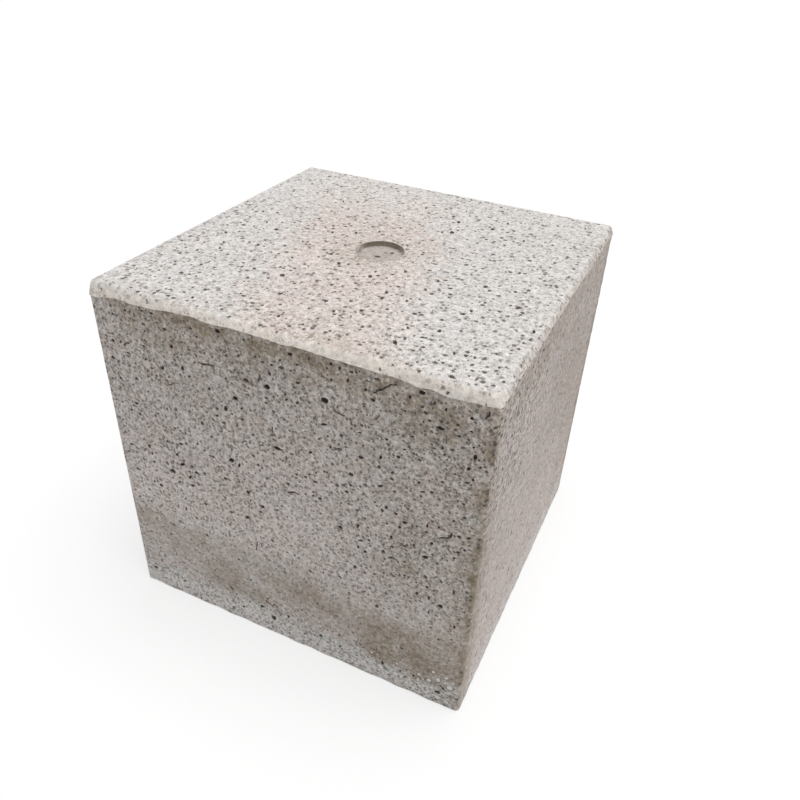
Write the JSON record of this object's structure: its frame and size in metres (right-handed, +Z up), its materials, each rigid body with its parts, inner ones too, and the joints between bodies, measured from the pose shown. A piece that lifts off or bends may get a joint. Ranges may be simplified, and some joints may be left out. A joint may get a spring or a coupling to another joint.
{
  "type": "concrete deck pier block",
  "caption": "Near-cube of cast concrete that carries a deck post, with tooled top edges and a shallow round recess in the middle of its top.",
  "frame": {"origin": "middle of the foot, on the surface the block stands on", "axes": "+X along the front face to the right, +Y to the back, +Z up through the recess in the top"},
  "size_m": [0.3, 0.298, 0.292],
  "materials": {
    "concrete": "dry-cast grey-beige concrete, speckled and pitted, cream along the tooled top edge"
  },
  "bodies": {
    "root": {"pier_block": "concrete"}
  },
  "joints": []
}
